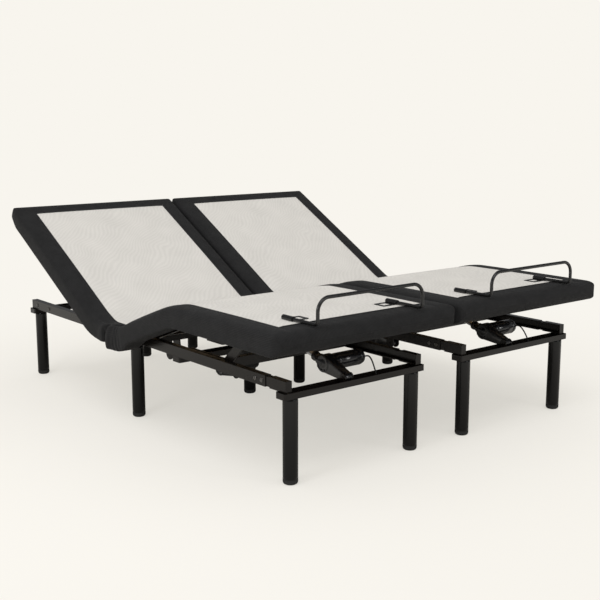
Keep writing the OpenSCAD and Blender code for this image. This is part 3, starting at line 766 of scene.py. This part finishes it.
    def seam_lines(self) -> list[bpy.types.Object]:
        """Makes the piping round the panel, cut where the cover is cut.

        Returns:
            The foot, thigh and head lengths of piping.
        """
        first, last = self.border_rows
        edge = self.edge_columns
        stops = [first, self.cut_rows[0], self.cut_rows[1], last]
        made = []
        for index, name in enumerate(PIPINGS):
            rows = slice(stops[index], stops[index + 1] + 1)
            runs = [self.net[rows, edge[0]], self.net[rows, edge[1]]]
            top = slice(edge[0], edge[1] + 1)
            if index == 0:
                runs = [np.vstack([runs[0][::-1], self.net[first, top], runs[1]])]
            if index == 2:
                runs = [np.vstack([runs[0], self.net[last, top], runs[1][::-1]])]
            parts = []
            for run in runs:
                keep = np.concatenate([[True], np.linalg.norm(np.diff(run, axis=0), axis=1) > 1e-5])
                parts.append(tube(run[keep] + (0, 0, 0.0006), 0.0026, (0.02, 0.01, 1), 8))
            verts, faces = join_parts(parts)
            piece = new_piece(f"{self.path.half}_{name}", verts, faces, PIPING)
            tidy_normals(piece)
            made.append(piece)
        return made

    def fit(self) -> None:
        """Builds the cover and its piping, hides the pads they stand for and bakes their places."""
        half = self.path.half
        covers = self.split(self.skin())
        for piece, piping, nodes in zip(covers, self.seam_lines(),
                                        ((f"{half}_foot_pad",), (f"{half}_thigh_pad",),
                                         (f"{half}_head_pad", f"{half}_seat_pad"))):
            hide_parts(*nodes)
            self.pieces += [piece, piping]
        knee, hip, waist = self.path.marks
        spans = ((f"{half}_foot", f"{half}_thigh", knee, 0.055), ("base", f"{half}_thigh", hip, 0.06),
                 ("base", f"{half}_backrest", waist, 0.06))
        for index, (start, end, mark, reach) in enumerate(spans):
            low, high = (-1, 1) if index != 1 else (1, -1)
            a = self.path.place(np.array(mark + low * reach), np.array(0.0), np.array(0.0))
            b = self.path.place(np.array(mark + high * reach), np.array(0.0), np.array(0.0))
            for piece in self.pieces[2 * index:2 * index + 2]:
                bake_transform(piece)
                LOG.info("%s blends from %s to %s", piece.name, start, end)


# ---- Steelwork ----


@dataclass
class Legs:
    """The glossy leg tubes and their rubber caps, turned on a lathe profile."""

    half: str
    radius: float = 0.025
    cap_reach: float = 0.0002

    def build(self) -> None:
        """Makes six legs and six caps where the frame's own stand."""
        low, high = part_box(f"{self.half}_legs")
        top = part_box(f"{self.half}_foot_crossbar")[0].z
        r = self.radius
        xs = (low.x + r, high.x - r)
        middle = self.row_y()
        tube_profile = np.array([[0, 0.012], [r - 0.003, 0.012], [r, 0.014], [r, 0.03],
                                 [r, top * 0.5], [r, top - 0.008], [r - 0.0004, top - 0.003],
                                 [r - 0.002, top - 0.0006], [r - 0.004, top - 0.0002],
                                 [0, top - 0.0002]])
        c = r + self.cap_reach
        cap_profile = np.array([[0, 0], [c - 0.010, 0], [c - 0.006, 0.0008], [c - 0.0025, 0.0030],
                                [c - 0.0006, 0.0065], [c, 0.010], [c, 0.0185], [c - 0.0005, 0.0196],
                                [r - 0.0002, 0.0199], [r - 0.0004, 0.012]])
        tubes, caps = [], []
        for x in xs:
            for y in middle:
                tubes.append(lathe(tube_profile, (x, y, 0), (0, 0, 1), 40))
                caps.append(lathe(cap_profile, (x, y, 0), (0, 0, 1), 40))
        legs = new_piece(f"{self.half}_leg_tubes", *join_parts(tubes), LEG_ENAMEL)
        feet = new_piece(f"{self.half}_leg_feet", *join_parts(caps), RUBBER)
        for piece, node, slot in ((legs, f"{self.half}_legs", "leg_enamel"),
                                  (feet, "leg_caps", "rubber")):
            tidy_normals(piece)
            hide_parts(node)
            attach(piece, "base")
            LOG.info("%s rides on base", piece.name)

    def row_y(self) -> list[float]:
        """The middles of the three crossbars, which the legs stand under."""
        bars = [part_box(f"{self.half}_{n}_crossbar") for n in ("foot", "middle", "head")]
        return [(a.y + b.y) / 2 for a, b in bars]


@dataclass
class RivetHeads:
    """Domed heads over the rivets and bolts in the rails' outer faces."""

    half: str
    radius: float = 0.0085
    rise: float = 0.0042
    foot_runs: tuple[float, float] = (0.125, 0.160)
    head_runs: tuple[float, float] = (0.054, 0.169)

    def build(self) -> None:
        """Makes the domes: radius falls as the cosine while height rises as the sine."""
        low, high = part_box(f"{self.half}_rail_sleeves")
        z = (low.z + high.z) / 2
        turn = np.linspace(0, np.pi / 2, 6)
        dome = np.stack([self.radius * np.cos(turn), self.rise * np.sin(turn)], 1)
        dome = np.vstack([[self.radius, -0.001], dome])
        rivet = dome * (0.85, 0.9)
        parts = []
        for x, way in ((low.x, -1.0), (high.x, 1.0)):
            for run in self.foot_runs:
                parts.append(lathe(rivet, (x, low.y + run, z), (way, 0, 0), 20))
            for run in self.head_runs:
                parts.append(lathe(dome, (x, high.y - run, z), (way, 0, 0), 20))
        piece = new_piece(f"{self.half}_rivet_heads", *join_parts(parts), DARK_RIVET)
        tidy_normals(piece)
        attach(piece, "base")
        LOG.info("%s rides on base", piece.name)


@dataclass
class MattressStop:
    """The bent rod at the foot end: two runs along the deck, two uprights and a rounded bar."""

    half: str
    radius: float = 0.006
    corner: float = 0.044
    bend: float = 0.016

    def build(self) -> None:
        """Carries a circle along the rod's middle line."""
        low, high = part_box(f"{self.half}_mattress_stop")
        r = self.radius
        x0, x1 = low.x + r, high.x - r
        y0, y1, z0, z1 = low.y + r, high.y - r, low.z + r, high.z - r
        turn = np.linspace(0, np.pi / 2, 12)
        b, c = self.bend, self.corner
        side = np.vstack([[[y1, z0], [(y0 + y1) / 2, z0]],
                          np.stack([y0 + b - b * np.sin(turn), z0 + b - b * np.cos(turn)], 1)])
        left = np.stack([np.full(len(side), x0), side[:, 0], side[:, 1]], 1)
        arch = np.stack([x0 + c - c * np.cos(turn), np.full(12, y0), z1 - c + c * np.sin(turn)], 1)
        half = np.vstack([left, arch])
        mirror = half[::-1] * (-1, 1, 1) + ((x0 + x1), 0, 0)
        rod = np.vstack([half, mirror])
        verts, faces = tube(rod, r, (0.7, 0.72, 0.05), 16)
        piece = new_piece(f"{self.half}_stop_rod", verts, faces, STOP_BLACK)
        tidy_normals(piece)
        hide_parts(f"{self.half}_mattress_stop")
        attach(piece, f"{self.half}_stop")
        LOG.info("%s rides on its stop", piece.name)


# ---- Linear drives ----


@dataclass
class Drive:
    """A linear drive's shell: tear-drop gear case, motor can and nose, in the drive's own frame.

    The frame's origin is the rear pivot; its second axis runs along the rod.
    """

    half: str
    kind: str
    joints: dict[str, dict]
    nose: float
    reach: float = 0.158
    gear_run: float = 0.108
    gear_r: float = 0.031
    gear_end: float = -0.018
    tail_r: float = 0.013
    can_r: float = 0.028

    def __post_init__(self) -> None:
        """Reads the pivot and the rod's heading from the joints."""
        self.pivot = np.array(self.joints[f"{self.half}_{self.kind}_drive_tilt"]["pos_m"])
        along = np.array(self.joints[f"{self.half}_{self.kind}_ram_slide"]["axis"], float)
        self.along = along / np.linalg.norm(along)
        self.up = np.cross((1.0, 0, 0), self.along)

    def at(self, x: float, y: float, z: float) -> Points:
        """A point given across, along and above the rod, in the row's frame."""
        return self.pivot + np.array([x, 0, 0]) + y * self.along + z * self.up

    def teardrop(self, inset: float) -> Points:
        """The outline round the gear circle and the tail circle, drawn in by an inset."""
        big, small = self.gear_r - 0.001 - inset, self.tail_r - inset
        lean = math.asin((big - small) / self.gear_run)
        front = np.linspace(-lean, math.pi + lean, 21)
        back = np.linspace(math.pi + lean, 2 * math.pi - lean, 9)
        gear = np.stack([self.gear_run + big * np.sin(front), big * np.cos(front)], 1)
        tail = np.stack([small * np.sin(back), small * np.cos(back)], 1)
        return np.vstack([gear, tail])

    def case(self) -> tuple[Points, Points]:
        """The tear-drop carried across, its edges rounded by insets that follow a quarter circle."""
        turn = np.linspace(0, np.pi / 2, 4)
        inset = np.concatenate([0.004 * (1 - np.sin(turn)), 0.004 * (1 - np.sin(turn[::-1]))])
        across = np.concatenate([self.gear_end + 0.002 + 0.004 * (1 - np.cos(turn)),
                                 0.018 - 0.004 * (1 - np.cos(turn[::-1]))])
        rings = [np.stack([np.full(CASE_CORNERS, x), *self.teardrop(d).T], 1)
                 for d, x in zip(inset, across)]
        first, last = (np.tile((across[i], self.gear_run * 0.6, 0), (CASE_CORNERS, 1))
                       for i in (0, -1))
        rings = [first, *rings, last]
        flat = np.vstack(rings)
        verts = (self.pivot + flat[:, :1] * (1, 0, 0) + flat[:, 1:2] * self.along
                 + flat[:, 2:] * self.up)
        return verts, grid_faces(len(rings), CASE_CORNERS)

    def build(self) -> None:
        """Makes the shell and ties it to the drive's body."""
        g, r, c, end, low = self.gear_run, self.gear_r, self.can_r, self.reach, self.gear_end
        hub = np.array([[0, low], [0.012, low], [0.014, low + 0.0015], [0.021, low + 0.0015],
                        [0.0225, low], [r - 0.004, low], [r - 0.0012, low + 0.0012], [r, low + 0.004],
                        [r, -0.006], [r - 0.001, -0.005], [r - 0.001, -0.003], [r, -0.002],
                        [r, 0.018], [r - 0.0012, 0.0208], [r - 0.004, 0.022], [0, 0.022]])
        can = np.array([[0, 0.020], [c - 0.004, 0.020], [c - 0.004, 0.034], [c - 0.002, 0.0365],
                        [c, 0.038], [c, 0.052], [c - 0.0007, 0.0528], [c - 0.0007, 0.0542], [c, 0.055],
                        [c, end - 0.022], [c - 0.0007, end - 0.0212], [c - 0.0007, end - 0.0198],
                        [c, end - 0.019], [c, end - 0.013], [c - 0.002, end - 0.0115],
                        [c - 0.003, end - 0.010], [c - 0.003, end - 0.004], [c - 0.0045, end - 0.001],
                        [c - 0.008, end], [0.009, end], [0.008, end - 0.0015], [0, end - 0.0015]])
        n = self.nose
        guide = np.array([[0, g], [0.019, g], [0.019, g + 0.034], [0.0175, g + 0.037],
                          [0.016, g + 0.040], [0.016, g + n - 0.012], [0.0172, g + n - 0.011],
                          [0.0172, g + n - 0.002], [0.016, g + n], [0.0102, g + n],
                          [0.0102, g + n - 0.02], [0, g + n - 0.02]])
        eye = np.array([[0, -0.012], [0.011, -0.012], [0.0125, -0.0105], [0.0125, 0.0105],
                        [0.011, 0.012], [0, 0.012]])
        side = (1.0, 0, 0)
        parts = [lathe(hub, self.at(0, g, 0), side, 40), lathe(can, self.at(0, g, 0), side, 40),
                 lathe(guide, self.at(0, 0, 0), self.along, 32), lathe(eye, self.at(0, 0, 0), side, 28),
                 self.case()]
        turn = np.linspace(0, np.pi / 2, 4)
        screw = np.stack([0.0032 * np.cos(turn), 0.0018 * np.sin(turn)], 1)
        for angle in (0.7, 2.4, 3.9, 5.5):
            spot = self.at(low, g + 0.0265 * math.cos(angle), 0.0265 * math.sin(angle))
            parts.append(lathe(screw, spot, (-1.0, 0, 0), 10))
        piece = new_piece(f"{self.half}_{self.kind}_drive_shell", *join_parts(parts), HOUSING)
        tidy_normals(piece)
        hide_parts(f"{self.half}_{self.kind}_motor")
        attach(piece, f"{self.half}_{self.kind}_drive")
        LOG.info("%s rides on its drive", piece.name)


@dataclass
class MotorCable:
    """The short lead from the leg motor's end, over the crossbar's wall and down into it."""

    drive: Drive
    radius: float = 0.0026
    route: tuple[tuple[float, float, float], ...] = (
        (0.158, 0.108, -0.008), (0.166, 0.108, -0.008), (0.172, 0.100, 0.001), (0.171, 0.084, 0.009),
        (0.165, 0.066, 0.010), (0.156, 0.046, 0.007), (0.148, 0.030, 0.003), (0.143, 0.018, -0.002),
        (0.141, 0.008, -0.010), (0.141, 0.004, -0.017))

    def build(self) -> None:
        """Runs a smooth curve through the route, a cubic between each pair of points."""
        knots = np.array([self.drive.at(*p) for p in self.route])
        padded = np.vstack([2 * knots[0] - knots[1], knots, 2 * knots[-1] - knots[-2]])
        t = np.linspace(0, 1, 4)[None, :-1, None]
        a, b, c, d = (padded[i:len(padded) - 3 + i][:, None] for i in range(4))
        curve = 0.5 * (2 * b + (c - a) * t + (2 * a - 5 * b + 4 * c - d) * t ** 2
                       + (3 * b - a - 3 * c + d) * t ** 3)
        path = np.vstack([curve.reshape(-1, 3), knots[-1:]])
        verts, faces = tube(path, self.radius, (0.1, 0.35, 1.0), 10)
        half = self.drive.half
        piece = new_piece(f"{half}_cable", verts, faces, RUBBER)
        tidy_normals(piece)
        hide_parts(f"{half}_motor_cable")
        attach(piece, f"{half}_leg_drive")
        LOG.info("%s rides on its drive", piece.name)


# ---- Studio ----


@dataclass
class Studio:
    """A flat pale floor that fades into the backdrop, soft lights and the camera."""

    camera_at: tuple[float, float, float] = (-2.5886, -3.2836, 1.1624)
    yaw: float = 39.03
    pitch: float = 10.39
    lens: float = 60.64
    backdrop: tuple[float, float, float] = (0.939, 0.913, 0.855)
    floor_paint: tuple[float, float, float] = (0.26, 0.255, 0.25)
    floor_bounce: tuple[float, float, float] = (0.42, 0.41, 0.39)
    floor_glow: tuple[float, float, float] = (0.56, 0.545, 0.505)
    fade: tuple[float, float] = (1.1, 2.6)
    reflected: float = 0.22
    key_power: float = 1.3

    def build(self) -> None:
        """Sets the floor, the world, the lights and the camera."""
        scene = bpy.context.scene
        scene.view_settings.view_transform = "Standard"
        scene.world = self.surroundings()
        self.floor()
        self.sun("key_sun", (0.42, 0.30, -1.0), self.key_power, 38)
        self.lamp("left_strip", (-3.2, -1.2, 1.5), (0, -0.5, 0.2), 0.9, 26)
        self.lamp("foot_strip", (1.2, -4.6, 1.7), (0, -0.6, 0.2), 0.9, 22)
        data = bpy.data.cameras.new("camera")
        data.lens, data.sensor_width = self.lens, 36
        data.clip_end = 60
        camera = bpy.data.objects.new("camera", data)
        camera.location = self.camera_at
        camera.rotation_euler = (math.radians(90 - self.pitch), 0, -math.radians(self.yaw))
        scene.collection.objects.link(camera)
        scene.camera = camera

    def surroundings(self) -> bpy.types.World:
        """A cream backdrop, dimmer in reflections, so gloss stays dark between its highlights."""
        world = bpy.data.worlds.new("studio")
        world.use_nodes = True
        tree = world.node_tree
        tree.nodes.clear()
        out = tree.nodes.new("ShaderNodeOutputWorld")
        ray = tree.nodes.new("ShaderNodeLightPath")
        choose = tree.nodes.new("ShaderNodeMixShader")
        cream, dim = tree.nodes.new("ShaderNodeBackground"), tree.nodes.new("ShaderNodeBackground")
        cream.inputs["Color"].default_value = (*self.backdrop, 1)
        dim.inputs["Color"].default_value = (0.97, 0.98, 1.0, 1)
        dim.inputs["Strength"].default_value = self.reflected
        tree.links.new(ray.outputs["Is Glossy Ray"], choose.inputs[0])
        tree.links.new(cream.outputs[0], choose.inputs[1])
        tree.links.new(dim.outputs[0], choose.inputs[2])
        tree.links.new(choose.outputs[0], out.inputs["Surface"])
        return world

    def floor(self) -> None:
        """A flat floor, made as a grid, in pale paint that fades into the backdrop."""
        paint = bpy.data.materials.new("studio_floor")
        paint.use_nodes = True
        tree = paint.node_tree
        tree.nodes.clear()
        out = tree.nodes.new("ShaderNodeOutputMaterial")
        matt, glow = tree.nodes.new("ShaderNodeBsdfDiffuse"), tree.nodes.new("ShaderNodeEmission")
        dull, seen = tree.nodes.new("ShaderNodeBsdfDiffuse"), tree.nodes.new("ShaderNodeAddShader")
        ray, choose = tree.nodes.new("ShaderNodeLightPath"), tree.nodes.new("ShaderNodeMixShader")
        matt.inputs["Color"].default_value = (*self.floor_paint, 1)
        dull.inputs["Color"].default_value = (*self.floor_bounce, 1)
        glow.inputs["Color"].default_value = (*self.floor_glow, 1)
        tree.links.new(matt.outputs[0], seen.inputs[0])
        tree.links.new(glow.outputs[0], seen.inputs[1])
        tree.links.new(ray.outputs["Is Camera Ray"], choose.inputs[0])
        tree.links.new(dull.outputs[0], choose.inputs[1])
        tree.links.new(seen.outputs[0], choose.inputs[2])
        far, fade = tree.nodes.new("ShaderNodeEmission"), tree.nodes.new("ShaderNodeMixShader")
        far.inputs["Color"].default_value = (*self.backdrop, 1)
        where, reach = tree.nodes.new("ShaderNodeTexCoord"), tree.nodes.new("ShaderNodeVectorMath")
        reach.operation = "LENGTH"
        ramp = tree.nodes.new("ShaderNodeMapRange")
        ramp.interpolation_type = "SMOOTHSTEP"
        for socket, value in (("From Min", self.fade[0]), ("From Max", self.fade[1])):
            ramp.inputs[socket].default_value = value
        tree.links.new(where.outputs["Object"], reach.inputs[0])
        tree.links.new(reach.outputs["Value"], ramp.inputs["Value"])
        tree.links.new(ramp.outputs["Result"], fade.inputs[0])
        tree.links.new(choose.outputs[0], fade.inputs[1])
        tree.links.new(far.outputs[0], fade.inputs[2])
        tree.links.new(fade.outputs[0], out.inputs["Surface"])
        line = np.linspace(-40, 40, 9)
        x, y = np.meshgrid(line, line, indexing="ij")
        verts = np.stack([x, y, np.full_like(x, -0.0005)], -1).reshape(-1, 3)
        floor = new_piece("studio_floor", verts, grid_faces(9, 9, False, False)[:, ::-1], RUBBER)
        floor.data.materials[0] = paint

    @staticmethod
    def sun(name: str, heading: tuple[float, float, float], power: float, spread: float) -> None:
        """A wide soft sun that shines along a heading."""
        data = bpy.data.lights.new(name, "SUN")
        data.energy, data.angle = power, math.radians(spread)
        lamp = bpy.data.objects.new(name, data)
        lamp.rotation_euler = Vector(heading).to_track_quat("-Z", "Y").to_euler()
        bpy.context.scene.collection.objects.link(lamp)

    @staticmethod
    def lamp(name: str, at: tuple[float, float, float], to: tuple[float, float, float],
             size: float, power: float) -> None:
        """A square soft light at a place, aimed at a point."""
        data = bpy.data.lights.new(name, "AREA")
        data.energy, data.size = power, size
        lamp = bpy.data.objects.new(name, data)
        lamp.location = at
        lamp.rotation_euler = (Vector(to) - Vector(at)).to_track_quat("-Z", "Y").to_euler()
        bpy.context.scene.collection.objects.link(lamp)


def dress_nodes(nodes: dict[str, bpy.types.Object]) -> None:
    """Gives every node of the frame the finish of its kind."""
    for name, node in nodes.items():
        kind = name.removeprefix("left_").removeprefix("right_")
        node.data.materials.clear()
        node.data.materials.append(NODE_FINISH[kind].build())


def main() -> None:
    """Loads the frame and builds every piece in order."""
    logging.basicConfig(level=logging.INFO, format="%(name)s: %(message)s")
    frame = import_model()
    Studio().build()
    dress_nodes(frame["nodes"])
    joints = {joint["name"]: joint for joint in frame["joints"]}
    for half in HALVES:
        DeckCover(DeckPath(half, joints)).fit()
        Legs(half).build()
        RivetHeads(half).build()
        MattressStop(half).build()
        Drive(half, "back", joints, nose=0.100).build()
        leg_drive = Drive(half, "leg", joints, nose=0.062)
        leg_drive.build()
        MotorCable(leg_drive).build()


if __name__ == "__main__":
    main()
